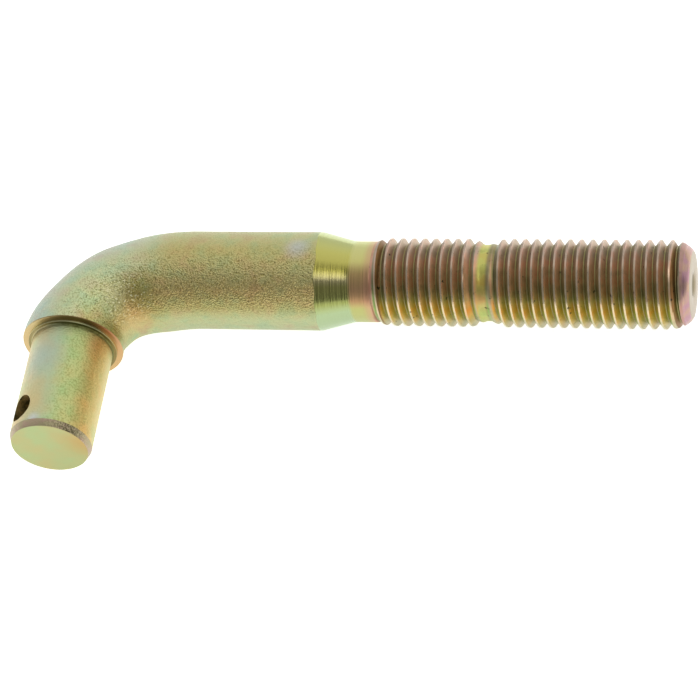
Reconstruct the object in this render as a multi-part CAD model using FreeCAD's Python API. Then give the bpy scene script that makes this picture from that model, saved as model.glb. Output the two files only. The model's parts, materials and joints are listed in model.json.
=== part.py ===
"""A bent steel pin, made from one round bar.

One end of the bar is turned to a cone, a neck and a threaded shank. The other end is bent by about
a right angle and turned down to a plain leg, which a cross hole goes through.
Millimetres. The pin lies on its side: +X runs along the shank to its tip, +Z is up, and the leg
points towards -Y. The origin is where the leg's axis meets the shoulder face at the leg's root.
"""

import FreeCAD
import Part
import math
import os

# Bar and bend, where the bend starts gently and then tightens
bar_diameter = 22.2
corner_angle = 88.0
lead_in_radius = 42.0
lead_in_turn = 24.0
bend_radius = 16.0
lead_in_straight = 12.0

# How far bending moves the outer and the inner side of the bar, at even steps along the bend
bend_swell = [(0.0, 0.0), (0.1, 0.2), (-0.55, -0.75), (-1.15, -0.3)]
sections_per_step = 6

# Shoulder, the low collar on it, and the leg
rim_diameter = 22.9
rim_length = 0.4
rim_edge_radius = 0.2
leg_diameter = 18.35
leg_length = 27.8
collar_diameter = 20.2
collar_length = 0.5
leg_root_radius = 0.3
leg_chamfer_length = 1.6
leg_chamfer_depth = 0.6
hole_diameter = 6.5
hole_to_leg_end = 6.0
hole_roll = 48.5

# Cone and neck, with places along the shank measured from the corner where the two axes meet
cone_start = 56.0
cone_half_angle = 15.0
cone_blend_radius = 6.0
neck_diameter = 18.1

# Thread blanks, in two runs that rise slowly from the neck and from the groove between them
thread_diameter = 19.6
groove_diameter = 16.8
first_run_start = 68.6
run_in_length = 3.2
first_run_end = 93.4
second_run_start = 94.2
run_out_length = 3.2

# Shank tip
shank_length = 139.2
tip_chamfer_length = 4.2
tip_chamfer_angle = 31.0
tip_dish_diameter = 6.4
tip_dish_depth = 0.6

x_axis = FreeCAD.Vector(1, 0, 0)
z_axis = FreeCAD.Vector(0, 0, 1)
corner = FreeCAD.Vector(0, 0, 0)
total_turn = math.radians(180 - corner_angle)
lead_turn = math.radians(lead_in_turn)


def point(along, out):
    """A point of a turned outline: its place along the axis, then its distance from the axis."""
    return FreeCAD.Vector(along, out, 0)


def line(start, end):
    return Part.LineSegment(start, end).toShape()


def arc(start, middle, end):
    return Part.Arc(start, middle, end).toShape()


def lines(points):
    """Straight edges from point to point."""
    return [line(start, end) for start, end in zip(points, points[1:])]


def turned(edges):
    """The solid that a closed outline sweeps when it turns about the X axis."""
    outline = Part.Face(Part.Wire(edges))
    return outline.revolve(corner, x_axis, 360)


def bend_end_on_leg():
    """Distance along the leg's axis from the corner to the end of the bend."""
    lead_across = lead_in_radius * (1 - math.cos(lead_turn))
    bend_across = bend_radius * (math.cos(lead_turn) - math.cos(total_turn))
    return (lead_across + bend_across) / math.sin(total_turn)


def bend_start_on_shank():
    """Distance along the shank's axis from the corner to the start of the bend."""
    lead_along = lead_in_radius * math.sin(lead_turn)
    bend_along = bend_radius * (math.sin(total_turn) - math.sin(lead_turn))
    return lead_along + bend_along - bend_end_on_leg() * math.cos(total_turn)


def shoulder_on_leg():
    """Distance along the leg's axis from the corner to the shoulder face."""
    return bend_end_on_leg() + rim_length


def turn_after(distance):
    """How far the bar has turned, this far along its centre line from the start of the bend."""
    lead_length = lead_in_radius * lead_turn
    if distance < lead_length:
        return max(distance, 0) / lead_in_radius
    return lead_turn + (distance - lead_length) / bend_radius


def centre_after(distance):
    """The point of the bar's centre line this far from the start of the bend."""
    turn = turn_after(distance)
    lead = min(turn, lead_turn)
    along = lead_in_radius * math.sin(lead) + bend_radius * (math.sin(turn) - math.sin(lead))
    across = lead_in_radius * (1 - math.cos(lead)) + bend_radius * (math.cos(lead) - math.cos(turn))
    return FreeCAD.Vector(bend_start_on_shank() - along - min(distance, 0), -across, 0)


def section(distance, outer_reach, inner_reach, half_height):
    """The bar's closed oval section, square to its centre line."""
    turn = turn_after(distance)
    inward = FreeCAD.Vector(math.sin(turn), -math.cos(turn), 0)
    half_width = (outer_reach + inner_reach) / 2
    centre = centre_after(distance) + inward * ((inner_reach - outer_reach) / 2)
    forward = inward.cross(z_axis)
    place = FreeCAD.Matrix(
        inward.x * half_width, 0, forward.x, centre.x,
        inward.y * half_width, 0, forward.y, centre.y,
        0, half_height, 0, 0,
        0, 0, 0, 1,
    )
    circle = Part.Circle(corner, z_axis, 1).toShape()
    return Part.Wire(circle.transformGeometry(place))


def swell_after(share):
    """How far the outer and the inner side have moved, this share of the way along the bend."""
    rim_swell = (rim_diameter - bar_diameter) / 2
    stations = [(0, 0)] + bend_swell + [(rim_swell, rim_swell)]
    place = share * (len(stations) - 1)
    number = min(int(place), len(stations) - 2)
    step = place - number
    eased = step**2 * (3 - 2 * step)
    here, there = stations[number], stations[number + 1]
    return [start + (end - start) * eased for start, end in zip(here, there)]


def bend():
    """The bent part of the bar, from its straight lead-in to the rim at the shoulder."""
    bar_radius = bar_diameter / 2
    rim_radius = rim_diameter / 2
    bend_length = lead_in_radius * lead_turn + bend_radius * (total_turn - lead_turn)
    length = lead_in_straight + bend_length
    last = (len(bend_swell) + 1) * sections_per_step
    sections = []
    for number in range(last + 1):
        share = number / last
        distance = share * length - lead_in_straight
        outer_reach, inner_reach = [bar_radius + swell for swell in swell_after(share)]
        rim_share = max(distance, 0) / bend_length
        half_height = bar_radius + (rim_radius - bar_radius) * rim_share
        sections.append(section(distance, outer_reach, inner_reach, half_height))
    return Part.makeLoft(sections, True)


def leg():
    """The rim, its shoulder face, the collar and the leg, with the leg's axis along X from the corner."""
    rim_radius = rim_diameter / 2
    leg_radius = leg_diameter / 2
    start = bend_end_on_leg()
    shoulder = shoulder_on_leg()
    end = shoulder + leg_length
    edge_bulge = rim_edge_radius * math.sin(math.radians(45))
    root_bulge = leg_root_radius * (1 - math.sin(math.radians(45)))
    edge_start = point(shoulder - rim_edge_radius, rim_radius)
    edge_middle = point(shoulder - rim_edge_radius + edge_bulge, rim_radius - rim_edge_radius + edge_bulge)
    edge_end = point(shoulder, rim_radius - rim_edge_radius)
    collar_end = shoulder + collar_length
    root_start = point(collar_end, leg_radius + leg_root_radius)
    root_middle = point(collar_end + root_bulge, leg_radius + root_bulge)
    root_end = point(collar_end + leg_root_radius, leg_radius)
    outline = lines([point(start, 0), point(start, rim_radius), edge_start])
    outline.append(arc(edge_start, edge_middle, edge_end))
    outline += lines([
        edge_end,
        point(shoulder, collar_diameter / 2),
        point(collar_end, collar_diameter / 2),
        root_start,
    ])
    outline.append(arc(root_start, root_middle, root_end))
    chamfer_start = point(end - leg_chamfer_length, leg_radius)
    chamfer_end = point(end, leg_radius - leg_chamfer_depth)
    outline += lines([root_end, chamfer_start, chamfer_end, point(end, 0), point(start, 0)])
    return turned(outline)


def cross_hole():
    """The drill's path through the leg, with the leg's axis along X from the corner."""
    reach = leg_diameter
    centre = FreeCAD.Vector(shoulder_on_leg() + leg_length - hole_to_leg_end, 0, 0)
    roll = math.radians(hole_roll)
    direction = FreeCAD.Vector(0, -math.cos(roll), math.sin(roll))
    return Part.makeCylinder(hole_diameter / 2, 2 * reach, centre - direction * reach, direction)


def cone_and_neck():
    """The outline from the bar's full diameter down the cone and along the neck to the thread."""
    bar_radius = bar_diameter / 2
    neck_radius = neck_diameter / 2
    slope = math.radians(cone_half_angle)
    cone_end = cone_start + (bar_radius - neck_radius) / math.tan(slope)
    blend = cone_blend_radius * math.tan(slope / 2)
    blend_start = point(cone_end - blend * math.cos(slope), neck_radius + blend * math.sin(slope))
    blend_end = point(cone_end + blend, neck_radius)
    blend_middle = point(
        blend_end.x - cone_blend_radius * math.sin(slope / 2),
        neck_radius + cone_blend_radius * (1 - math.cos(slope / 2)),
    )
    straight_end = bend_start_on_shank() + lead_in_straight
    outline = lines([
        point(straight_end, 0),
        point(straight_end, bar_radius),
        point(cone_start, bar_radius),
        blend_start,
    ])
    outline.append(arc(blend_start, blend_middle, blend_end))
    outline.append(line(blend_end, point(first_run_start, neck_radius)))
    return outline


def threaded_end():
    """The outline of both thread blanks, the groove between them and the tip, back to the axis."""
    thread_radius = thread_diameter / 2
    groove_radius = groove_diameter / 2
    end_radius = thread_radius - tip_chamfer_length * math.tan(math.radians(tip_chamfer_angle))
    dish_radius = tip_dish_diameter / 2
    sphere_radius = (dish_radius**2 + tip_dish_depth**2) / (2 * tip_dish_depth)
    half_reach = dish_radius / 2
    half_depth = math.sqrt(sphere_radius**2 - half_reach**2) - (sphere_radius - tip_dish_depth)
    dish_edge = point(shank_length, dish_radius)
    dish_middle = point(shank_length - half_depth, half_reach)
    dish_bottom = point(shank_length - tip_dish_depth, 0)
    outline = lines([
        point(first_run_start, neck_diameter / 2),
        point(first_run_start + run_in_length, thread_radius),
        point(first_run_end - run_out_length, thread_radius),
        point(first_run_end, groove_radius),
        point(second_run_start, groove_radius),
        point(second_run_start + run_out_length, thread_radius),
        point(shank_length - tip_chamfer_length, thread_radius),
        point(shank_length, end_radius),
        dish_edge,
    ])
    outline.append(arc(dish_edge, dish_middle, dish_bottom))
    outline.append(line(dish_bottom, point(bend_start_on_shank() + lead_in_straight, 0)))
    return outline


def bent_pin():
    """The whole pin as one solid, with the origin at the centre of the shoulder face."""
    shank = turned(cone_and_neck() + threaded_end())
    leg_end = leg().cut(cross_hole())
    leg_end.rotate(corner, z_axis, -corner_angle)
    pin = shank.fuse([bend(), leg_end]).removeSplitter()
    angle = math.radians(corner_angle)
    shoulder = shoulder_on_leg()
    pin.translate(FreeCAD.Vector(-shoulder * math.cos(angle), shoulder * math.sin(angle), 0))
    return pin.Solids[0]


os.makedirs("parts", exist_ok=True)
bent_pin().exportStep("parts/bent_pin.step")
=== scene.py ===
"""The looks of the bent steel pin: one detailed mesh with its helical thread, and its plated finish.

Metres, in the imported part's frame: +X runs along the shank to its tip, +Z is up, and the leg points
towards -Y. The camera stands where the photograph's did.
"""

import json
import math

import bmesh
import bpy
import numpy as np
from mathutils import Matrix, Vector, noise


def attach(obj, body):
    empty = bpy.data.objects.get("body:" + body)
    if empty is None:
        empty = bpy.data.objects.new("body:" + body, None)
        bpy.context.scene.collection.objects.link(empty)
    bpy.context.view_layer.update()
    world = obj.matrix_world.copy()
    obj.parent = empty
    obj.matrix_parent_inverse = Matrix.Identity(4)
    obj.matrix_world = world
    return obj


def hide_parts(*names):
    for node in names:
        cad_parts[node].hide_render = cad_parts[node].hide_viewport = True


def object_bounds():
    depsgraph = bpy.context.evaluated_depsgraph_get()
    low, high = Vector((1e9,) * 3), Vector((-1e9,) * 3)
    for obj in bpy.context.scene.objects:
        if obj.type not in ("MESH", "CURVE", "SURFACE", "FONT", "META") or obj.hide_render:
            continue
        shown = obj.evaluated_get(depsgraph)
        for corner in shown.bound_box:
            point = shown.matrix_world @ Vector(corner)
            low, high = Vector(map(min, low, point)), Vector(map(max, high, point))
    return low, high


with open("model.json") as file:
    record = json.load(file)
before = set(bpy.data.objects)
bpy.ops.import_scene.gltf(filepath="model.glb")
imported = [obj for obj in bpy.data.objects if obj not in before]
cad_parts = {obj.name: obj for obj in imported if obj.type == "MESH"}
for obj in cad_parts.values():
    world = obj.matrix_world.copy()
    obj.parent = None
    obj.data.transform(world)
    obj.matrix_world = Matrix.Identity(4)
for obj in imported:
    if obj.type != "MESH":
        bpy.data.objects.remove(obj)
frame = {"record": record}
cad_low, cad_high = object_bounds()
mounts = {mount["name"]: mount for mount in frame["record"]["mounts"]}

mm = 0.001

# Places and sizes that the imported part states
shank_axis_y = mounts["thread"]["pos_m"][1]
leg_axis = Vector(mounts["leg_pin"]["axis"])
leg_radius = mounts["leg_pin"]["dims"]["r_mm"] * mm
hole_centre = Vector(mounts["cross_hole"]["pos_m"])
hole_axis = Vector(mounts["cross_hole"]["axis"])
hole_radius = mounts["cross_hole"]["dims"]["r_mm"] * mm

# Bar and bend, as in the part's source
bar_radius = 11.1 * mm
lead_in_radius = 42 * mm
lead_turn = math.radians(24)
bend_radius = 16 * mm
lead_in_straight = 12 * mm
bend_swell = [(0, 0), (0.1, 0.2), (-0.55, -0.75), (-1.15, -0.3)]

# Shoulder and leg, as in the part's source
rim_radius = 11.45 * mm
rim_edge = 0.2 * mm
rim_length = 0.4 * mm
leg_length = 27.8 * mm
collar_radius = 10.1 * mm
collar_length = 0.5 * mm
collar_edge = 0.08 * mm
root_fillet = 0.3 * mm
leg_chamfer_length = 1.6 * mm
leg_chamfer_depth = 0.6 * mm
leg_face_radius = leg_radius - leg_chamfer_depth

# Cone and neck, with places along the shank measured from the corner where the two axes meet
cone_start = 56 * mm
cone_slope = math.radians(15)
cone_blend = 6 * mm
neck_radius = 9.05 * mm

# Where the raw bar's skin stops: an edge that leans, and wobbles by smooth noise round a ring
turned_start = 55.6 * mm
turned_lean = 1.0 * mm
turned_lean_turn = math.radians(54)
turned_wobble = 0.35 * mm
wobble_ring = 3
wobble_height = 5

# Dents of the raw bar's skin: their depth on the whole, and the depth and size of their lumps
dent_depth = 0.022 * mm
coarse_depth = 0.012 * mm
coarse_size = 3.2 * mm
fine_depth = 0.02 * mm
fine_size = 0.8 * mm
fine_shift = Vector((7, 3, 5))

# Thread: its pitch, its radii, and half the widths of its flat crests and roots
pitch = 2.5 * mm
thread_radius = 9.8 * mm
root_radius = 8.45 * mm
crest_half = 0.2 * mm
root_half = 0.1 * mm

# Its two runs: a crest of each, where the shank is turned to this angle, and places along the shank
first_crest = 71.82 * mm
second_crest = 97.05 * mm
crest_turn = math.radians(142.3)
thread_start = 68.6 * mm
first_groove_end = 70.6 * mm
gap_middle = 93.7 * mm
last_groove_start = 135.1 * mm
thread_end = 137.75 * mm

# Tip: its end face with a rounded edge, and the shallow dish in it
shank_length = 139.2 * mm
tip_radius = 7.28 * mm
tip_edge = 0.3 * mm
tip_face_middle = 5 * mm
dish_radius = 3.2 * mm
dish_depth = 0.6 * mm

# Radius of the crests and of the roots at places along each run, in mm
first_crests = ([68.6, 69.2, 71.8, 90.0, 91.64, 92.9, 93.7], [9.05, 9.3, 9.8, 9.8, 9.3, 8.7, 8.45])
first_roots = ([68.6, 68.9, 69.7, 71.2], [9.05, 8.95, 8.6, 8.45])
second_crests = ([93.7, 94.8, 95.8, 97.05, 98.3], [8.45, 8.65, 8.95, 9.65, 9.8])
second_roots = ([93.7, 137.6], [8.45, 8.45])

# Radius of the tip's rounded chamfer at places along the shank, in mm
tip_chamfer = ([134.8, 137.1, 138.2, 138.9, 139.2], [9.8, 9.15, 8.45, 7.8, 7.28])

# Places across one pitch that get a row of points, from the crest
pitch_rows = np.array([0.1, 0.2, 0.42, 0.78, 1.15, 1.25, 1.35, 1.72, 2.08, 2.3, 2.4]) * mm

# Points round the bar and round the hole, the spacing of rows, and points that count as one
sides = 160
turn = np.linspace(0, 2 * math.pi, sides + 1)
bar_step = 0.5 * mm
leg_step = 0.7 * mm
hole_sides = 96
merge_gap = 0.0005 * mm

# Stretches before and after the leaning edge, whose rows come to follow it, and their numbers of rows
last_bar_stretch = 3 * mm
last_bar_rows = 8
first_cone_stretch = 1.2 * mm
first_cone_rows = 5
other_cone_rows = 30

# How many points of the centre line tell places along the bar, and how many places are told at once
line_points = 3000
batch = 500

# Camera, fitted to the photograph's outline
camera_place = (0.21789, -0.34483, 0.47274)
camera_turn = (37.187, 11.249, 9.535)
camera_lens = 141.51
camera_sensor = 36

# Floor: half its side, how far it lies below the pin, its grey, roughness and glow
floor_reach = 1.5
floor_gap = 0.1 * mm
floor_grey = 0.85
floor_roughness = 0.9
floor_glow = 0.84

# Soft light: its place, what it points at, its sides and its power
light_place = (0.4, -0.2, 0.9)
light_aim = (0.07, 0.0, 0)
light_sides = (0.7, 0.22)
light_power = 0.8

# Brightness of the room, by degrees up from the photographer's side over the top to the back
room_bands = [(0, 0.3), (50, 0.28), (86, 0.38), (102, 0.88), (150, 0.92), (180, 0.8)]

corner = leg_axis * (shank_axis_y / leg_axis.y)
total_turn = math.pi - math.acos(leg_axis.x)
cone_end = cone_start + (bar_radius - neck_radius) / math.tan(cone_slope)


def shank_rows(along, radius):
    """Rows of points round the shank's axis, at places along it from the corner."""
    return shank_rows_at(np.asarray(along)[:, None], np.asarray(radius)[:, None])


def shank_rows_at(along, radius):
    """Rows of points round the shank's axis, whose place along it differs round each row."""
    along = along + np.zeros_like(turn)
    radius = radius + np.zeros_like(along)
    points = [corner.x + along, corner.y - radius * np.cos(turn), radius * np.sin(turn)]
    return np.stack(points, 2)


def leg_rows(along, radius):
    """Rows of points round the leg's axis, at places along it from the shoulder."""
    inward = np.array((-leg_axis.y, leg_axis.x, 0))
    along = np.asarray(along)[:, None, None]
    radius = np.asarray(radius)[:, None, None]
    ring = np.cos(turn)[:, None] * inward + np.sin(turn)[:, None] * np.array((0, 0, 1))
    return along * np.array(leg_axis) + radius * ring


def bend_end_on_leg():
    """Distance along the leg's axis from the corner to the end of the bend."""
    across = lead_in_radius * (1 - math.cos(lead_turn))
    across += bend_radius * (math.cos(lead_turn) - math.cos(total_turn))
    return across / math.sin(total_turn)


def bend_start_on_shank():
    """Distance along the shank's axis from the corner to the start of the bend."""
    along = lead_in_radius * math.sin(lead_turn)
    along += bend_radius * (math.sin(total_turn) - math.sin(lead_turn))
    return along - bend_end_on_leg() * math.cos(total_turn)


def bend_length():
    """Length of the bar's centre line along the bend."""
    return lead_in_radius * lead_turn + bend_radius * (total_turn - lead_turn)


def travel_of_corner():
    """The place along the bar, counted from the leg's end, that the shank's own places start from."""
    return leg_length + rim_length + bend_length() - bend_start_on_shank()


def turn_after(distance):
    """How far the bar has turned, this far along its centre line from the start of the bend."""
    lead_length = lead_in_radius * lead_turn
    if distance < lead_length:
        return max(distance, 0) / lead_in_radius
    return lead_turn + (distance - lead_length) / bend_radius


def centre_after(distance):
    """The point of the bar's centre line this far from the start of the bend."""
    angle = turn_after(distance)
    lead = min(angle, lead_turn)
    along = lead_in_radius * math.sin(lead) + bend_radius * (math.sin(angle) - math.sin(lead))
    across = lead_in_radius * (1 - math.cos(lead)) + bend_radius * (math.cos(lead) - math.cos(angle))
    start = corner.x + bend_start_on_shank()
    return np.array((start - along - min(distance, 0), corner.y - across, 0))


def swell_after(share):
    """How far the outer and the inner side have moved, this share of the way along the bend."""
    rim_swell = (rim_radius - bar_radius) / mm
    stations = [(0, 0)] + bend_swell + [(rim_swell, rim_swell)]
    place = share * (len(stations) - 1)
    number = min(int(place), len(stations) - 2)
    step = place - number
    eased = step**2 * (3 - 2 * step)
    here, there = stations[number], stations[number + 1]
    return [(start + (end - start) * eased) * mm for start, end in zip(here, there)]


def dents(point):
    """How deep the raw bar's skin is dented here."""
    coarse = noise.noise(point / coarse_size) + 0.5 * noise.noise(point / (coarse_size / 2))
    fine = noise.noise(point / fine_size + fine_shift)
    return max(dent_depth + coarse_depth * coarse + fine_depth * fine, 0)


def dented(points, outward):
    """The points moved inwards by the dents of the raw bar's skin."""
    depth = [dents(Vector(point)) for point in points]
    return points - outward * np.array(depth)[:, None]


def bend_row(distance):
    """A row of points round the bar's oval section, this far from the start of the bend."""
    share = min((distance + lead_in_straight) / (lead_in_straight + bend_length()), 1)
    outer_swell, inner_swell = swell_after(max(share, 0))
    outer = bar_radius + outer_swell
    inner = bar_radius + inner_swell
    rim_share = max(distance, 0) / bend_length()
    half_height = bar_radius + (rim_radius - bar_radius) * rim_share
    angle = turn_after(distance)
    inward = np.array((math.sin(angle), -math.cos(angle), 0))
    upward = np.array((0, 0, 1))
    outward = np.cos(turn)[:, None] * inward + np.sin(turn)[:, None] * upward
    centre = centre_after(distance) + inward * (inner - outer) / 2
    across = np.cos(turn)[:, None] * (inner + outer) / 2 * inward
    row = centre + across + np.sin(turn)[:, None] * half_height * upward
    return dented(row, outward)


def turned_edge():
    """Where the raw bar stops and the turned cone starts, for each angle round the shank."""
    ring = [(wobble_ring * math.cos(angle), wobble_ring * math.sin(angle)) for angle in turn]
    wobble = np.array([noise.noise(Vector((*place, wobble_height))) for place in ring])
    lean = turned_lean * np.cos(turn - turned_lean_turn)
    return turned_start + lean + turned_wobble * wobble


def bar_rows():
    """The raw bar from the rim round the bend to where the turning starts."""
    stretch_start = turned_start - last_bar_stretch
    straight_end = stretch_start - bend_start_on_shank()
    count = int((bend_length() + straight_end) / bar_step)
    distances = np.linspace(bend_length(), -straight_end, count)
    bent = np.stack([bend_row(distance) for distance in distances])
    steps = np.linspace(0, 1, last_bar_rows)[1:, None]
    last = shank_rows_at(stretch_start + (turned_edge() - stretch_start) * steps, bar_radius)
    outward = last - np.array((0, corner.y, 0))
    outward[..., 0] = 0
    outward /= np.linalg.norm(outward, axis=2, keepdims=True)
    straight = np.stack([dented(row, out) for row, out in zip(last, outward)])
    return np.concatenate([bent, straight])


def chamfer_radius(along):
    """The radius of the tip's chamfer, here along the shank."""
    return np.interp(along / mm, *tip_chamfer) * mm


def thread_height(along, crest, crests, roots):
    """The thread's radius at places along the shank, one for each angle round it."""
    turned = (along - crest) / pitch + (turn - crest_turn) / (2 * math.pi)
    off_crest = np.abs(turned - np.round(turned)) * pitch
    flank = pitch / 2 - crest_half - root_half
    height = np.clip((pitch / 2 - root_half - off_crest) / flank, 0, 1)
    high = np.interp(along / mm, *crests) * mm
    low = np.minimum(np.interp(along / mm, *roots) * mm, high)
    return np.minimum(low + (high - low) * height, chamfer_radius(along))


def thread_rows(start, end, crest, crests, roots):
    """Rows that follow the helix, and are held at a plain ring at each end."""
    first = math.floor((start - crest) / pitch) - 1
    last = math.ceil((end - crest) / pitch) + 1
    across = np.concatenate([pitch_rows + pitch * number for number in range(first, last + 1)])
    along = crest + across[:, None] - pitch * (turn - crest_turn) / (2 * math.pi)
    along = np.clip(along, start, end)
    radius = thread_height(along, crest, crests, roots)
    return shank_rows_at(along, radius)


def arc_places(radius, start, end, count):
    """Cosines and sines of an arc's points, times its radius."""
    steps = np.radians(np.linspace(start, end, count))
    return radius * np.cos(steps), radius * np.sin(steps)


def leg_side_rows():
    """The leg's plain side and its root fillet."""
    root = collar_length + root_fillet
    plain = np.arange(leg_length - leg_chamfer_length - leg_step, root, -leg_step)
    across, down = arc_places(root_fillet, 180, 90, 5)
    along = np.concatenate([plain, root - down])
    radius = np.concatenate([np.full(len(plain), leg_radius), leg_radius + root_fillet + across])
    return leg_rows(along, radius)


def collar_rows():
    """The low collar between the leg and the shoulder face, with its rounded edge."""
    down, across = arc_places(collar_edge, 0, 90, 4)
    along = [*(collar_length - collar_edge + down), 0]
    radius = [*(collar_radius - collar_edge + across), collar_radius]
    return leg_rows(along, radius)


def shoulder_rows():
    """The shoulder face and the rim's rounded edge."""
    across, down = arc_places(rim_edge, 90, 0, 4)
    along = [0, *(down - rim_edge)]
    radius = [(collar_radius + rim_radius) / 2, *(rim_radius - rim_edge + across)]
    return leg_rows(along, radius)


def cone_radius(along):
    """The turned radius along the cone, its blend and the neck."""
    blend_end = cone_end + cone_blend * math.tan(cone_slope / 2)
    past = np.clip(blend_end - along, 0, cone_blend * math.sin(cone_slope))
    blend = neck_radius + cone_blend - np.sqrt(cone_blend**2 - past**2)
    cone = bar_radius - np.maximum(along - cone_start, 0) * math.tan(cone_slope)
    return np.where(along > blend_end - cone_blend * math.sin(cone_slope), blend, cone)


def cone_rows():
    """The turned end of the bar, the cone and the neck."""
    edge = turned_edge()
    stretch_end = cone_start + first_cone_stretch
    near = edge + (stretch_end - edge) * np.linspace(0, 1, first_cone_rows)[:, None]
    far = np.linspace(stretch_end, thread_start, other_cone_rows)[1:, None] + np.zeros_like(turn)
    places = np.concatenate([near, far])
    return shank_rows_at(places, cone_radius(places))


def tip_rows():
    """The tip's chamfer, its end face and the shallow dish in it."""
    end = shank_length
    sphere = (dish_radius**2 + dish_depth**2) / (2 * dish_depth)
    dish = np.linspace(dish_radius, 0, 6)
    depth = np.sqrt(sphere**2 - dish**2) - (sphere - dish_depth)
    chamfer = np.linspace(thread_end + 0.01 * mm, end - 0.5 * tip_edge, 6)
    along = [*chamfer, end - 0.1 * tip_edge, end, end, *(end - depth)]
    face = [tip_radius + 0.1 * tip_edge, tip_radius - 0.5 * tip_edge, tip_face_middle]
    return shank_rows(along, [*chamfer_radius(chamfer), *face, *dish])


def skin():
    """All rows of points from the leg's end to the shank's tip, each with its finish."""
    first = thread_rows(thread_start, gap_middle, first_crest, first_crests, first_roots)
    second = thread_rows(gap_middle, thread_end, second_crest, second_crests, second_roots)
    face = [0, leg_face_radius * 0.5, leg_face_radius * 0.98, leg_face_radius]
    parts = [
        ("leg_face", leg_rows([leg_length] * len(face), face)),
        ("leg_edge", leg_rows([leg_length - leg_chamfer_length], [leg_radius])),
        ("leg", leg_side_rows()),
        ("collar", collar_rows()),
        ("shoulder", shoulder_rows()),
        ("raw_bar", bar_rows()),
        ("cone", cone_rows()),
        ("thread", first),
        ("thread", second),
        ("tip", tip_rows()),
    ]
    names = [name for name, rows in parts for _ in rows]
    return np.concatenate([rows for _, rows in parts]), names


def srgb(red, green, blue):
    """A colour given as 0 to 255 in sRGB."""
    values = [value / 255 for value in (red, green, blue)]
    return tuple(((v + 0.055) / 1.055) ** 2.4 if v > 0.04 else v / 12.92 for v in values) + (1,)


white = srgb(255, 255, 255)


class Nodes:
    """A node tree, and short ways to add to it."""

    def __init__(self, tree):
        self.tree = tree

    def node(self, kind, **settings):
        made = self.tree.nodes.new(kind)
        for name, value in settings.items():
            setattr(made, name, value)
        return made

    def put(self, socket, value):
        """Links an output to the socket, or sets a plain value."""
        if isinstance(value, bpy.types.NodeSocket):
            self.tree.links.new(value, socket)
        else:
            socket.default_value = value

    def maths(self, operation, first, second=0.0):
        made = self.node("ShaderNodeMath", operation=operation)
        self.put(made.inputs[0], first)
        self.put(made.inputs[1], second)
        return made.outputs[0]

    def times(self, first, second):
        return self.maths("MULTIPLY", first, second)

    def grade(self, factor, low, high, start=0.0, end=1.0):
        """Maps a factor from low..high to start..end, held at both ends."""
        made = self.node("ShaderNodeMapRange", interpolation_type="SMOOTHSTEP")
        self.put(made.inputs["Value"], factor)
        made.inputs["From Min"].default_value = low
        made.inputs["From Max"].default_value = high
        made.inputs["To Min"].default_value = start
        made.inputs["To Max"].default_value = end
        return made.outputs["Result"]

    def ramp(self, factor, *stops):
        """A colour for each factor, from stops that give a factor and its colour."""
        made = self.node("ShaderNodeValToRGB")
        self.put(made.inputs["Fac"], factor)
        elements = made.color_ramp.elements
        while len(elements) < len(stops):
            elements.new(0.5)
        for element, (place, colour) in zip(elements, stops):
            element.position = place
            element.color = colour
        return made.outputs["Color"]

    def mix(self, factor, first, second, blend="MIX"):
        made = self.node("ShaderNodeMix", data_type="RGBA", blend_type=blend)
        self.put(made.inputs["Factor"], factor)
        first_socket, second_socket = [socket for socket in made.inputs if socket.type == "RGBA"]
        self.put(first_socket, first)
        self.put(second_socket, second)
        return [socket for socket in made.outputs if socket.type == "RGBA"][0]

    def product(self, first, second, share=1.0):
        """The first colour, multiplied by the second to this share."""
        return self.mix(share, first, second, "MULTIPLY")


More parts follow.
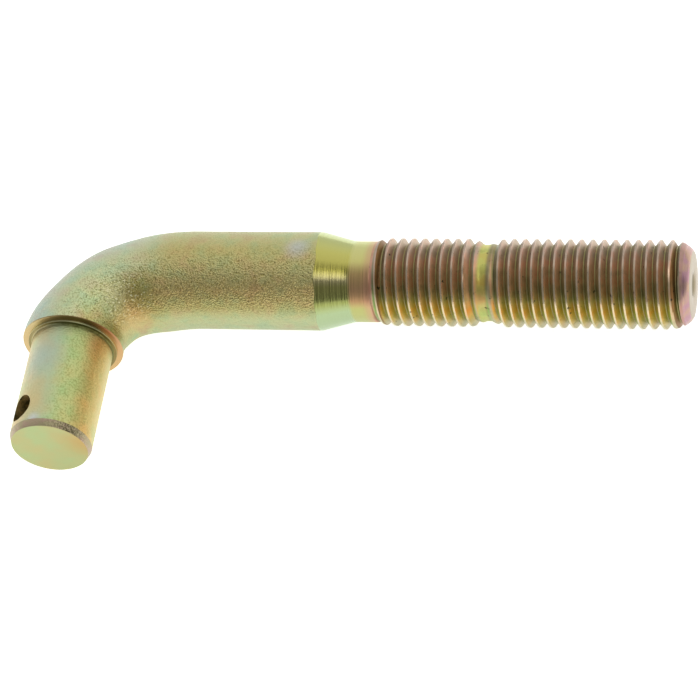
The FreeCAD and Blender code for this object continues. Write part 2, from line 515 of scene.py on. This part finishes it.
class Finish(Nodes):
    """A metal finish and the nodes that make it."""

    def __init__(self, name):
        self.material = bpy.data.materials.new(name)
        self.material.use_nodes = True
        super().__init__(self.material.node_tree)
        self.shader = self.tree.nodes["Principled BSDF"]
        self.shader.inputs["Metallic"].default_value = 1.0
        places = self.node("ShaderNodeTexCoord").outputs
        self.place = places["Object"]
        self.facing = places["Normal"]

    def attribute(self, name):
        return self.node("ShaderNodeAttribute", attribute_name=name).outputs["Fac"]

    def from_corner(self):
        """The place along the shank, measured from the corner."""
        return self.maths("SUBTRACT", self.attribute("travel"), travel_of_corner())

    def facing_along(self, direction):
        """One where the surface faces this way, and minus one where it faces away."""
        made = self.node("ShaderNodeVectorMath", operation="DOT_PRODUCT")
        self.put(made.inputs[0], self.facing)
        self.put(made.inputs[1], direction)
        return made.outputs["Value"]

    def noise(self, size, detail=2.0):
        """Noise whose lumps are about this size."""
        made = self.node("ShaderNodeTexNoise")
        made.inputs["Scale"].default_value = 1 / size
        made.inputs["Detail"].default_value = detail
        self.put(made.inputs["Vector"], self.place)
        return made.outputs["Fac"]

    def rings(self, size):
        """Fine lines round the bar, about this far apart."""
        made = self.node("ShaderNodeTexNoise", noise_dimensions="1D")
        made.inputs["Scale"].default_value = 1 / size
        made.inputs["Detail"].default_value = 2.0
        self.put(made.inputs["W"], self.attribute("travel"))
        return made.outputs["Fac"]

    def spot(self, centre, size):
        """One at a point and nothing from this distance on."""
        gap = self.node("ShaderNodeVectorMath", operation="DISTANCE")
        self.put(gap.inputs[0], self.place)
        self.put(gap.inputs[1], centre)
        return self.grade(gap.outputs["Value"], 0, size, 1, 0)

    def round_ramp(self, *stops):
        """Colours by degrees round the bar, from the crook's inner side by way of the top.

        Both ends of the ramp meet on the outer side, in a colour between its first and its last.
        """
        meeting = tuple(np.add(stops[0][1], stops[-1][1]) / 2)
        closed = [(-180, meeting), *stops, (180, meeting)]
        angle = self.maths("ARCTAN2", self.attribute("up"), self.attribute("inner"))
        share = self.grade(angle, -math.pi, math.pi)
        return self.ramp(share, *[((degrees + 180) / 360, colour) for degrees, colour in closed])

    def round_mask(self, *stops):
        """A factor by degrees round the bar, from stops that give the degrees and a grey of 0 to 255."""
        return self.round_ramp(*[(degrees, srgb(grey, grey, grey)) for degrees, grey in stops])

    def tinted(self, colour, where, strength, target):
        """The colour moved towards another where this mask is one, by this much at most."""
        return self.mix(self.times(where, strength), colour, target)

    def spotted(self, colour, *spots):
        """The colour with spots, each given by its centre, its reach, its strength and its colour."""
        for centre, reach, strength, target in spots:
            colour = self.tinted(colour, self.spot(centre, reach), strength, target)
        return colour

    def colour(self, value):
        self.put(self.shader.inputs["Base Color"], value)

    def roughness(self, value):
        self.put(self.shader.inputs["Roughness"], value)

    def bump(self, height, strength, distance):
        made = self.node("ShaderNodeBump")
        made.inputs["Strength"].default_value = strength
        made.inputs["Distance"].default_value = distance
        self.put(made.inputs["Height"], height)
        self.put(self.shader.inputs["Normal"], made.outputs["Normal"])


def on_shank(along, degrees):
    """A point of the bar's skin, this far along the shank from the corner."""
    angle = math.radians(degrees)
    out = Vector((0, -math.cos(angle), math.sin(angle))) * bar_radius
    return Vector((corner.x + along, corner.y, 0)) + out


def on_axis(along):
    """A point of the shank's axis, this far from the corner."""
    return Vector((corner.x + along, corner.y, 0))


def on_bend_skin(distance, degrees):
    """A point of the bar's skin, this far along its centre line from the start of the bend."""
    angle = math.radians(degrees)
    inward = Vector((math.sin(turn_after(distance)), -math.cos(turn_after(distance)), 0))
    out = inward * math.cos(angle) + Vector((0, 0, math.sin(angle)))
    return Vector(centre_after(distance)) + out * bar_radius


def on_leg(along, degrees):
    """A point of the leg's skin, this far along it from the shoulder."""
    angle = math.radians(degrees)
    inward = Vector((-leg_axis.y, leg_axis.x, 0))
    out = (inward * math.cos(angle) + Vector((0, 0, math.sin(angle)))) * leg_radius
    return leg_axis * along + out


def bend_tinted(finish, colour, patches):
    """The colour of the raw bar with the bend's greener top and its paler outer side."""
    inner = finish.attribute("inner")
    on_bend = finish.grade(finish.attribute("travel"), leg_length + 20 * mm, leg_length + 34 * mm, 1, 0)
    green = finish.times(finish.grade(inner, 0.2, 0.6, 0.75, 0), on_bend)
    colour = finish.mix(green, colour, srgb(213, 225, 193))
    colour = finish.spotted(colour, (on_bend_skin(27 * mm, 58), 9 * mm, 0.7, srgb(221, 229, 180)))
    above = finish.grade(finish.attribute("up"), -0.1, 0.6)
    outer = finish.times(finish.grade(inner, -0.65, 0.1, 0.85, 0), above)
    colour = finish.mix(finish.times(outer, on_bend), colour, srgb(184, 192, 192))
    return finish.tinted(colour, on_bend, 0.5, finish.product(colour, patches))


def pebbled(finish, colour, grain):
    """The colour with the fine speckle and dark flecks of the raw bar's skin, strongest on top, and
    painted glints: bright flecks in one spot on the bend.
    """
    on_top = finish.round_mask((15, 70), (45, 255), (105, 255), (140, 70))
    speckle = finish.ramp(grain, (0.3, srgb(188, 184, 148)), (0.52, white))
    colour = finish.tinted(colour, on_top, 0.9, finish.product(colour, speckle))
    fleck = finish.noise(0.55 * mm, 1)
    dark = finish.times(finish.grade(fleck, 0.3, 0.36, 0.65, 0), on_top)
    colour = finish.mix(dark, colour, srgb(120, 112, 70))
    # Painted glints: bright flecks in one spot on the bend, standing in for light caught by the grain.
    lit = finish.spot(on_bend_skin(19 * mm, 49), 11 * mm)
    light = finish.times(finish.grade(fleck, 0.6, 0.68, 0, 0.7), lit)
    return finish.mix(light, colour, srgb(255, 250, 205))


def raw_bar_finish():
    """Blasted bar with a pebbled skin."""
    finish = Finish("raw_bar")
    tone = finish.round_ramp(
        (-60, srgb(190, 196, 170)),
        (0, srgb(186, 192, 156)),
        (28, srgb(184, 176, 126)),
        (60, srgb(208, 190, 138)),
        (90, srgb(210, 200, 148)),
        (125, srgb(200, 190, 136)),
        (170, srgb(192, 198, 168)),
    )
    patches = finish.ramp(
        finish.noise(4 * mm, 4),
        (0.34, srgb(225, 248, 230)),
        (0.45, srgb(246, 252, 225)),
        (0.54, srgb(255, 250, 222)),
        (0.68, srgb(255, 230, 212)),
    )
    colour = bend_tinted(finish, finish.product(tone, patches, 0.6), patches)
    colour = finish.spotted(
        colour,
        (on_shank(52 * mm, 95), 4.5 * mm, 0.75, srgb(196, 200, 198)),
        (on_bend_skin(15 * mm, 46), 7 * mm, 0.6, srgb(158, 154, 84)),
        (on_bend_skin(20.5 * mm, 56), 5 * mm, 0.55, srgb(240, 232, 176)),
        (on_bend_skin(17.5 * mm, 14), 8 * mm, 0.55, srgb(216, 170, 116)),
        (on_leg(-1.2 * mm, 112), 1.6 * mm, 1, srgb(215, 215, 235)),
    )
    grain = finish.noise(0.36 * mm)
    finish.colour(pebbled(finish, colour, grain))
    finish.roughness(finish.grade(grain, 0.35, 0.65, 0.42, 0.28))
    finish.shader.inputs["Specular Tint"].default_value = srgb(230, 230, 224)
    finish.bump(grain, 1.0, 0.26 * mm)
    return finish.material


def leg_finish():
    """Turned and lightly blasted leg, with a painted highlight near its end and painted shade towards
    its root.
    """
    finish = Finish("leg")
    tone = finish.round_ramp(
        (-60, srgb(215, 205, 150)),
        (-10, srgb(216, 202, 150)),
        (20, srgb(208, 186, 126)),
        (45, srgb(224, 190, 126)),
        (75, srgb(214, 212, 148)),
        (100, srgb(204, 214, 156)),
        (125, srgb(198, 210, 176)),
        (155, srgb(212, 202, 166)),
    )
    patches = finish.ramp(
        finish.noise(5 * mm, 3),
        (0.35, srgb(215, 245, 222)),
        (0.5, srgb(245, 248, 230)),
        (0.65, srgb(255, 236, 205)),
    )
    colour = finish.spotted(
        finish.product(tone, patches, 0.55),
        (on_leg(9 * mm, 112), 8 * mm, 0.7, srgb(176, 196, 184)),
        (on_leg(3.5 * mm, 32), 5 * mm, 0.6, srgb(216, 166, 104)),
        (on_leg(21 * mm, 112), 7 * mm, 0.8, srgb(216, 196, 142)),
        # A painted highlight just before the chamfer at the leg's end.
        (on_leg(leg_length - 1.8 * mm, 100), 2.2 * mm, 0.8, srgb(214, 216, 214)),
    )
    # Painted shade in the corner at the leg's root, strongest on its inner side.
    root = finish.grade(finish.attribute("travel"), leg_length - 1.5 * mm, leg_length - 0.7 * mm)
    inner_side = finish.grade(finish.attribute("inner"), -0.5, 0.2, 0.35, 0.9)
    colour = finish.mix(finish.times(root, inner_side), colour, srgb(110, 110, 60))
    grain = finish.noise(0.4 * mm)
    speckle = finish.ramp(grain, (0.3, srgb(205, 205, 180)), (0.55, white))
    on_top = finish.round_mask((10, 60), (45, 230), (95, 230), (125, 60))
    finish.colour(finish.mix(on_top, colour, finish.product(colour, speckle)))
    finish.roughness(finish.grade(grain, 0.35, 0.65, 0.48, 0.38))
    finish.bump(grain, 1.0, 0.16 * mm)
    return finish.material


def leg_edge_finish():
    """The chamfer at the leg's end, sheared rough on one side."""
    finish = Finish("leg_edge")
    tone = finish.ramp(
        finish.noise(2.5 * mm, 3),
        (0.35, srgb(186, 160, 140)),
        (0.6, srgb(176, 166, 130)),
    )
    grain = finish.noise(0.35 * mm, 3)
    rough = finish.ramp(finish.grade(grain, 0.42, 0.6, 0.25, 1), (0, srgb(95, 95, 60)), (1, white))
    sheared = finish.spot(on_leg(leg_length, 45), 8 * mm)
    finish.colour(finish.product(tone, finish.mix(sheared, white, rough)))
    finish.roughness(0.42)
    finish.bump(grain, 0.6, 0.15 * mm)
    return finish.material


def leg_face_finish():
    """The leg's flat end."""
    finish = Finish("leg_face")
    tone = finish.ramp(finish.noise(5 * mm), (0.35, srgb(168, 180, 126)), (0.65, srgb(178, 174, 120)))
    finish.colour(finish.spotted(tone, (on_leg(leg_length, 10), 8 * mm, 0.7, srgb(190, 150, 84))))
    finish.roughness(0.4)
    finish.bump(finish.noise(0.4 * mm), 0.15, 0.04 * mm)
    return finish.material


def collar_finish():
    """The low collar at the leg's root, with a painted highlight along its edge and painted shade on its
    face.
    """
    finish = Finish("collar")
    # Painted highlight: the collar's edge and side, lighter than its face.
    edge = finish.round_ramp(
        (0, srgb(205, 195, 140)),
        (60, srgb(195, 200, 150)),
        (150, srgb(205, 205, 165)),
    )
    # Painted shade: the collar's face, beside the leg's root.
    face = finish.round_ramp(
        (0, srgb(130, 116, 70)),
        (60, srgb(96, 100, 60)),
        (150, srgb(150, 140, 96)),
    )
    finish.colour(finish.mix(finish.grade(finish.facing_along(leg_axis), 0.6, 0.95), edge, face))
    finish.roughness(0.3)
    finish.bump(finish.noise(0.3 * mm), 0.1, 0.02 * mm)
    return finish.material


def shoulder_finish():
    """The turned ring between the rim and the leg, with painted shade across its top and lighter sides.
    """
    finish = Finish("shoulder")
    # Painted shade: darkest at 80 degrees, on the ring's top, and lighter towards its sides.
    finish.colour(finish.round_ramp(
        (-60, srgb(200, 168, 120)),
        (0, srgb(196, 158, 116)),
        (40, srgb(166, 118, 82)),
        (80, srgb(120, 100, 62)),
        (120, srgb(146, 122, 78)),
        (160, srgb(196, 178, 128)),
    ))
    finish.roughness(0.35)
    finish.bump(finish.rings(0.2 * mm), 0.2, 0.03 * mm)
    return finish.material


def cone_finish():
    """The finely turned cone and neck, with a painted highlight band round the cone, and turning lines
    painted as streaks where the light strikes them.
    """
    finish = Finish("cone")
    tone = finish.round_ramp(
        (-60, srgb(170, 190, 152)),
        (10, srgb(166, 184, 140)),
        (32, srgb(160, 168, 100)),
        (66, srgb(178, 176, 108)),
        # A painted highlight band round the cone, lighter than the stops on either side.
        (78, srgb(206, 196, 146)),
        (95, srgb(184, 176, 88)),
        (125, srgb(194, 190, 106)),
        (165, srgb(186, 198, 142)),
    )
    neck = finish.round_ramp(
        (-60, srgb(186, 190, 134)),
        (15, srgb(184, 184, 116)),
        (35, srgb(200, 160, 115)),
        (60, srgb(198, 160, 120)),
        (90, srgb(205, 175, 120)),
        (115, srgb(208, 202, 128)),
        (160, srgb(205, 208, 145)),
    )
    along = finish.from_corner()
    on_neck = finish.grade(along, cone_end - 0.2 * mm, cone_end + 0.9 * mm)
    pink = finish.grade(along, thread_start - 2.2 * mm, thread_start - 0.2 * mm)
    colour = finish.tinted(finish.mix(on_neck, tone, neck), pink, 0.5, srgb(205, 150, 130))
    lines = finish.rings(0.24 * mm)
    shade = finish.ramp(lines, (0.34, srgb(160, 160, 130)), (0.58, white))
    # Painted streaks: the turning lines darken the colour only in the band where the light strikes, less
    # on the neck.
    lit = finish.round_mask((20, 0), (38, 255), (92, 255), (112, 0))
    strength = finish.grade(along, cone_end - 0.2 * mm, cone_end + 0.9 * mm, 0.9, 0.45)
    finish.colour(finish.tinted(colour, lit, strength, finish.product(colour, shade)))
    line_roughness = finish.grade(lines, 0.3, 0.7, 0.17, 0.27)
    finish.roughness(finish.maths("ADD", line_roughness, finish.times(on_neck, 0.2)))
    finish.bump(lines, 0.3, 0.04 * mm)
    return finish.material


def flank_and_crest_colour(finish, height):
    """The thread's colour: its flanks by the way they face, and its crest and its root by height."""
    tip_flank = finish.round_ramp(
        (-40, srgb(190, 184, 146)),
        (-8, srgb(204, 176, 96)),
        (18, srgb(220, 156, 72)),
        (42, srgb(220, 178, 120)),
        (75, srgb(250, 190, 144)),
        (112, srgb(230, 176, 144)),
        (135, srgb(200, 172, 156)),
    )
    bend_flank = finish.round_ramp(
        (-40, srgb(170, 180, 130)),
        (15, srgb(150, 186, 100)),
        (60, srgb(136, 150, 112)),
        (120, srgb(150, 146, 130)),
    )
    crest = finish.round_ramp(
        (-40, srgb(206, 202, 170)),
        (20, srgb(216, 198, 162)),
        (70, srgb(216, 198, 170)),
        (120, srgb(190, 168, 152)),
        (150, srgb(180, 162, 150)),
    )
    level = finish.mix(finish.grade(height, 0.05, 0.6), srgb(150, 142, 96), crest)
    facing = finish.facing_along((1, 0, 0))
    colour = finish.mix(finish.grade(facing, 0.2, 0.5), level, tip_flank)
    return finish.mix(finish.grade(facing, -0.5, -0.2, 1, 0), colour, bend_flank)


def thread_end_tints(finish, colour):
    """The colour with tints of its own by the neck, in the gap and at the tip, and a painted dark
    reflection on the tip-facing flanks of the end grooves.
    """
    along = finish.from_corner()
    facing = finish.facing_along((1, 0, 0))
    near_neck = finish.grade(along, thread_start + 0.3 * mm, thread_start + 0.9 * mm, 1, 0)
    colour = finish.mix(near_neck, colour, srgb(205, 160, 136))
    off_gap = finish.maths("ABSOLUTE", finish.maths("SUBTRACT", along, gap_middle))
    gap_tone = finish.round_ramp(
        (0, srgb(184, 194, 116)),
        (40, srgb(200, 172, 110)),
        (75, srgb(214, 200, 104)),
        (110, srgb(206, 204, 116)),
    )
    colour = finish.mix(finish.grade(off_gap, 0.5 * mm, 1.5 * mm, 1, 0), colour, gap_tone)
    # Painted dark reflection on the tip-facing flanks of the first and the last groove.
    first_groove = finish.grade(along, first_groove_end, first_groove_end + 0.4 * mm, 1, 0)
    last_groove = finish.grade(along, last_groove_start, last_groove_start + 0.3 * mm)
    painted_dark_reflection = finish.maths("MAXIMUM", last_groove, first_groove)
    painted_dark_reflection = finish.times(painted_dark_reflection, finish.grade(facing, 0.2, 0.5))
    colour = finish.mix(painted_dark_reflection, colour, srgb(140, 106, 66))
    at_tip = finish.grade(along, thread_end - 1.15 * mm, thread_end - 0.75 * mm)
    at_tip = finish.times(at_tip, finish.grade(facing, 0.1, 0.4))
    return finish.mix(at_tip, colour, srgb(184, 148, 138))


def thread_finish():
    """The rolled thread: light crests, red-brown flanks towards the tip and dark green ones behind."""
    finish = Finish("thread")
    height = finish.attribute("height")
    colour = thread_end_tints(finish, flank_and_crest_colour(finish, height))
    specks = finish.grade(finish.noise(1.2 * mm, 4), 0.66, 0.74)
    colour = finish.mix(specks, colour, srgb(60, 50, 40))
    patches = finish.ramp(
        finish.noise(2.5 * mm, 3),
        (0.38, srgb(215, 220, 205)),
        (0.5, srgb(250, 250, 245)),
        (0.62, srgb(255, 228, 215)),
    )
    finish.colour(finish.product(colour, patches, 0.5))
    finish.roughness(finish.grade(height, 0.88, 0.98, 0.42, 0.26))
    finish.bump(finish.noise(0.4 * mm, 3), 0.2, 0.05 * mm)
    return finish.material


def tip_finish():
    """The turned tip: its rosy chamfer, its end face and painted shade in the dish."""
    finish = Finish("tip")
    rose = finish.ramp(finish.noise(3 * mm), (0.4, srgb(180, 140, 148)), (0.62, srgb(188, 156, 134)))
    # Painted shade in the dish, darker than the rest of the end face.
    dish_painted_shade = finish.times(finish.spot(on_axis(shank_length), dish_radius * 1.15), 3)
    face = finish.mix(finish.maths("MINIMUM", dish_painted_shade, 1), srgb(166, 152, 124), srgb(118, 106, 70))
    on_face = finish.grade(finish.facing_along((1, 0, 0)), 0.88, 0.97)
    finish.colour(finish.mix(on_face, rose, face))
    lines = finish.rings(0.25 * mm)
    finish.roughness(finish.grade(lines, 0.3, 0.7, 0.26, 0.38))
    finish.bump(lines, 0.2, 0.03 * mm)
    return finish.material


def hole_finish():
    """The wall of the drilled hole."""
    finish = Finish("hole")
    finish.colour(finish.ramp(
        finish.noise(1.5 * mm, 3),
        (0.38, srgb(120, 110, 66)),
        (0.62, srgb(200, 175, 115)),
    ))
    finish.roughness(0.5)
    finish.bump(finish.noise(0.5 * mm), 0.3, 0.1 * mm)
    return finish.material


finish_makers = {
    "leg_face": leg_face_finish,
    "leg_edge": leg_edge_finish,
    "leg": leg_finish,
    "collar": collar_finish,
    "shoulder": shoulder_finish,
    "raw_bar": raw_bar_finish,
    "cone": cone_finish,
    "thread": thread_finish,
    "tip": tip_finish,
    "hole": hole_finish,
}


def hole_cutter():
    """The drill's path through the leg."""
    made = bpy.data.meshes.new("drill")
    work = bmesh.new()
    bmesh.ops.create_cone(
        work,
        segments=hole_sides,
        radius1=hole_radius,
        radius2=hole_radius,
        depth=leg_radius * 3,
        cap_ends=True,
    )
    work.to_mesh(made)
    work.free()
    cutter = bpy.data.objects.new("drill", made)
    bpy.context.scene.collection.objects.link(cutter)
    cutter.rotation_mode = "QUATERNION"
    cutter.rotation_quaternion = hole_axis.to_track_quat("Z", "Y")
    cutter.location = hole_centre
    return cutter


def closed_mesh(name):
    """The skin's rows joined to one closed mesh, with its finishes."""
    rows, names = skin()
    count, across = rows.shape[:2]
    finishes = list(finish_makers)
    grid = np.arange(count * across).reshape(count, across)
    quads = np.stack([grid[:-1, :-1], grid[:-1, 1:], grid[1:, 1:], grid[1:, :-1]], 2).reshape(-1, 4)
    made = bpy.data.meshes.new(name)
    made.from_pydata(rows.reshape(-1, 3).tolist(), [], quads.tolist())
    slots = np.repeat([finishes.index(finish) for finish in names[1:]], across - 1)
    made.polygons.foreach_set("material_index", slots.astype(np.int32))
    work = bmesh.new()
    work.from_mesh(made)
    bmesh.ops.remove_doubles(work, verts=work.verts, dist=merge_gap)
    bmesh.ops.recalc_face_normals(work, faces=work.faces)
    work.to_mesh(made)
    work.free()
    return made


def drill(pin):
    """Cuts the cross hole through the leg, and gives its wall its own finish."""
    cutter = hole_cutter()
    cut = pin.modifiers.new("cross_hole", "BOOLEAN")
    cut.operation = "DIFFERENCE"
    cut.solver = "EXACT"
    cut.object = cutter
    depsgraph = bpy.context.evaluated_depsgraph_get()
    drilled = bpy.data.meshes.new_from_object(
        pin.evaluated_get(depsgraph),
        preserve_all_data_layers=True,
        depsgraph=depsgraph,
    )
    pin.modifiers.clear()
    pin.data = drilled
    bpy.data.objects.remove(cutter)
    for face in drilled.polygons:
        off_axis = (face.center - hole_centre).cross(hole_axis).length
        if off_axis < hole_radius and abs(face.normal.dot(hole_axis)) < 0.1:
            face.material_index = list(finish_makers).index("hole")


def mark(mesh, name, values):
    layer = mesh.attributes.new(name, "FLOAT", "POINT")
    layer.data.foreach_set("value", np.asarray(values, dtype=np.float32))


def points_of(mesh):
    """The mesh's points, one to a row."""
    places = np.empty(len(mesh.vertices) * 3)
    mesh.vertices.foreach_get("co", places)
    return places.reshape(-1, 3)


def centre_line():
    """Points along the bar's centre line, from the shank's tip to the leg's end.

    Gives their places along it, the points, and the way to the crook's inner side at each.
    """
    length = bend_length()
    tip = bend_start_on_shank() - shank_length
    steps = np.linspace(tip, length + rim_length + leg_length, line_points)
    centres = []
    inwards = []
    for step in steps:
        inside = min(step, length)
        angle = turn_after(inside)
        forward = np.array((-math.cos(angle), -math.sin(angle), 0))
        centres.append(centre_after(inside) + forward * (step - inside))
        inwards.append((math.sin(angle), -math.cos(angle), 0))
    return steps, np.array(centres), np.array(inwards)


def nearest_centres(places, centres):
    """The number of the nearest point of the centre line, for each place."""
    nearest = np.empty(len(places), dtype=int)
    for start in range(0, len(places), batch):
        gaps = places[start:start + batch, None, :2] - centres[None, :, :2]
        nearest[start:start + batch] = (gaps**2).sum(2).argmin(1)
    return nearest


def mark_bar(mesh):
    """Gives every point its place along the bar, from the leg's end, and round it."""
    places = points_of(mesh)
    steps, centres, inwards = centre_line()
    nearest = nearest_centres(places, centres)
    offset = places - centres[nearest]
    mark(mesh, "travel", steps[-1] - steps[nearest])
    mark(mesh, "inner", (offset * inwards[nearest]).sum(1) / bar_radius)
    mark(mesh, "up", places[:, 2] / bar_radius)


def mark_thread(mesh):
    """Gives every point its height on the thread, from none at the root to one at the crest."""
    _, y, z = points_of(mesh).T
    radius = np.hypot(z, corner.y - y)
    mark(mesh, "height", np.clip((radius - root_radius) / (thread_radius - root_radius), 0, 1))


def bent_pin():
    """The whole pin, drilled, marked and finished."""
    mesh = closed_mesh("pin")
    for make in finish_makers.values():
        mesh.materials.append(make())
    pin = bpy.data.objects.new("pin", mesh)
    bpy.context.scene.collection.objects.link(pin)
    drill(pin)
    mark_bar(pin.data)
    mark_thread(pin.data)
    pin.data.shade_smooth()
    pin.data.set_sharp_from_angle(angle=math.radians(35))
    return pin


def floor():
    """A plain pale floor that glows a little, as a lit white table does."""
    mesh = bpy.data.meshes.new("floor")
    x = floor_reach
    z = cad_low.z - floor_gap
    mesh.from_pydata([(-x, -x, z), (x, -x, z), (x, x, z), (-x, x, z)], [], [(0, 1, 2, 3)])
    made = bpy.data.objects.new("floor", mesh)
    bpy.context.scene.collection.objects.link(made)
    material = bpy.data.materials.new("floor")
    material.use_nodes = True
    shader = material.node_tree.nodes["Principled BSDF"]
    shader.inputs["Base Color"].default_value = (floor_grey, floor_grey, floor_grey, 1)
    shader.inputs["Roughness"].default_value = floor_roughness
    shader.inputs["Emission Color"].default_value = white
    shader.inputs["Emission Strength"].default_value = floor_glow
    mesh.materials.append(material)


def soft_light():
    """One wide soft light above the pin, which gives the cone its bright band."""
    light = bpy.data.lights.new("strip", "AREA")
    light.shape = "RECTANGLE"
    light.size, light.size_y = light_sides
    light.energy = light_power
    made = bpy.data.objects.new("strip", light)
    bpy.context.scene.collection.objects.link(made)
    made.location = light_place
    made.rotation_euler = (Vector(light_aim) - Vector(light_place)).to_track_quat("-Z", "Y").to_euler()


def camera():
    """The camera, where the photographer's was."""
    data = bpy.data.cameras.new("camera")
    data.lens = camera_lens
    data.sensor_width = camera_sensor
    made = bpy.data.objects.new("camera", data)
    bpy.context.scene.collection.objects.link(made)
    made.location = camera_place
    made.rotation_euler = [math.radians(angle) for angle in camera_turn]
    bpy.context.scene.camera = made


def room():
    """Soft light from above and behind, and a dim room on the photographer's side."""
    made = bpy.data.worlds.new("room")
    made.use_nodes = True
    nodes = Nodes(made.node_tree)
    parts = nodes.node("ShaderNodeSeparateXYZ")
    nodes.put(parts.inputs[0], nodes.node("ShaderNodeTexCoord").outputs["Generated"])
    front = nodes.times(parts.outputs["Y"], -1)
    rise = nodes.maths("ARCTAN2", parts.outputs["Z"], front)
    stops = [(degrees / 180, (value, value, value, 1)) for degrees, value in room_bands]
    bands = nodes.ramp(nodes.maths("DIVIDE", rise, math.pi), *stops)
    nodes.put(made.node_tree.nodes["Background"].inputs["Color"], bands)
    bpy.context.scene.world = made


pin = bent_pin()
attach(pin, "root")
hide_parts("bent_pin")
floor()
soft_light()
room()
camera()
bpy.context.scene.view_settings.view_transform = "Standard"
